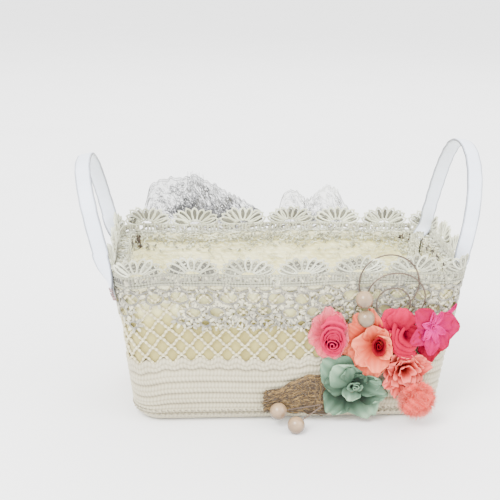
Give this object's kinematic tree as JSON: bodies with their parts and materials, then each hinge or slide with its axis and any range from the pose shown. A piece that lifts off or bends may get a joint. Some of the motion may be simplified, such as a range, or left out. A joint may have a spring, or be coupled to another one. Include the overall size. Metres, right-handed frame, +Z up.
{
  "type": "flower girl basket",
  "caption": "Soft crochet and lace flower girl basket with padded strap handles that fold at its ends, and a corsage of cloth flowers, pearls and wire on its front.",
  "frame": {"origin": "centre of the flat foot, on the surface the basket stands on", "axes": "+Z up, +X along the long side to the right seen from the front, -Y to the front where the corsage is"},
  "size_m": [0.2816, 0.1566, 0.1912],
  "materials": {
    "board": "grey-brown pressed card",
    "former": "matt",
    "lining_cloth": "woven cotton",
    "cover_cloth": "woven cotton",
    "binding": "woven tape",
    "crochet_yarn": "cotton crochet",
    "stitch_yarn": "twisted cotton",
    "net_yarn": "twisted cotton net",
    "lace": "corded lace",
    "tulle": "stiff net",
    "strap_satin": "satin",
    "stitch_thread": "sewing thread",
    "boning": "translucent strip",
    "felt": "felt",
    "stem_tape": "waxed tape",
    "burlap": "coarse jute",
    "mint_petal": "pressed cloth petals",
    "pink_petal": "pressed cloth petals",
    "rose_bud": "pressed cloth petals",
    "peach_petal": "pressed cloth petals",
    "red_heart": "pressed cloth petals",
    "carnation_petal": "pinked cloth petals",
    "coral_fluff": "soft fibres",
    "hot_pink_petal": "pressed cloth petals",
    "magenta_petal": "pressed cloth petals",
    "pearl": "pearl lustre",
    "brown_wire": "brown enamelled wire"
  },
  "bodies": {
    "basket": {"base_board": "board", "former_wall": "former", "lining": "lining_cloth", "cover_cloth": "cover_cloth", "rim_binding": "binding", "crochet_base": "crochet_yarn", "crochet_wall": "crochet_yarn", "foot_stitching": "stitch_yarn", "net_band": "net_yarn", "lace_overlay": "lace", "lace_trim": "lace", "tulle_left": "tulle", "tulle_right": "tulle", "left_front_anchor": "strap_satin", "left_back_anchor": "strap_satin", "right_front_anchor": "strap_satin", "right_back_anchor": "strap_satin", "anchor_stitching": "stitch_thread", "corsage_backing": "felt", "flower_stems": "stem_tape", "burlap_ribbon": "burlap", "mint_rose_petals": "mint_petal", "mint_rose_centre": "mint_petal", "pink_rose_petals": "pink_petal", "pink_rose_bud": "rose_bud", "peach_rose_petals": "peach_petal", "peach_rose_heart": "red_heart", "peach_carnation": "carnation_petal", "coral_puff": "coral_fluff", "left_blossom_petals": "hot_pink_petal", "left_blossom_centre": "red_heart", "right_blossom_petals": "magenta_petal", "right_blossom_centre": "magenta_petal", "upper_pearl": "pearl", "middle_pearl": "pearl", "side_pearl": "pearl", "front_pearl": "pearl", "pearl_stems": "brown_wire", "outer_wire_loop": "brown_wire", "middle_wire_loop": "brown_wire", "inner_wire_loop": "brown_wire", "stem_tip": "brown_wire"},
    "left_handle": {"left_handle_sleeve": "strap_satin", "left_handle_core": "boning"},
    "right_handle": {"right_handle_sleeve": "strap_satin", "right_handle_core": "boning"}
  },
  "joints": [
    {"name": "left_handle_fold", "type": "hinge", "parent": "basket", "child": "left_handle", "pos_m": [-0.1295, 0, 0.125], "axis": [0, -1, 0], "range_deg": [-60, 100]},
    {"name": "right_handle_fold", "type": "hinge", "parent": "basket", "child": "right_handle", "pos_m": [0.119, 0, 0.125], "axis": [0, 1, 0], "range_deg": [-55, 100]}
  ]
}
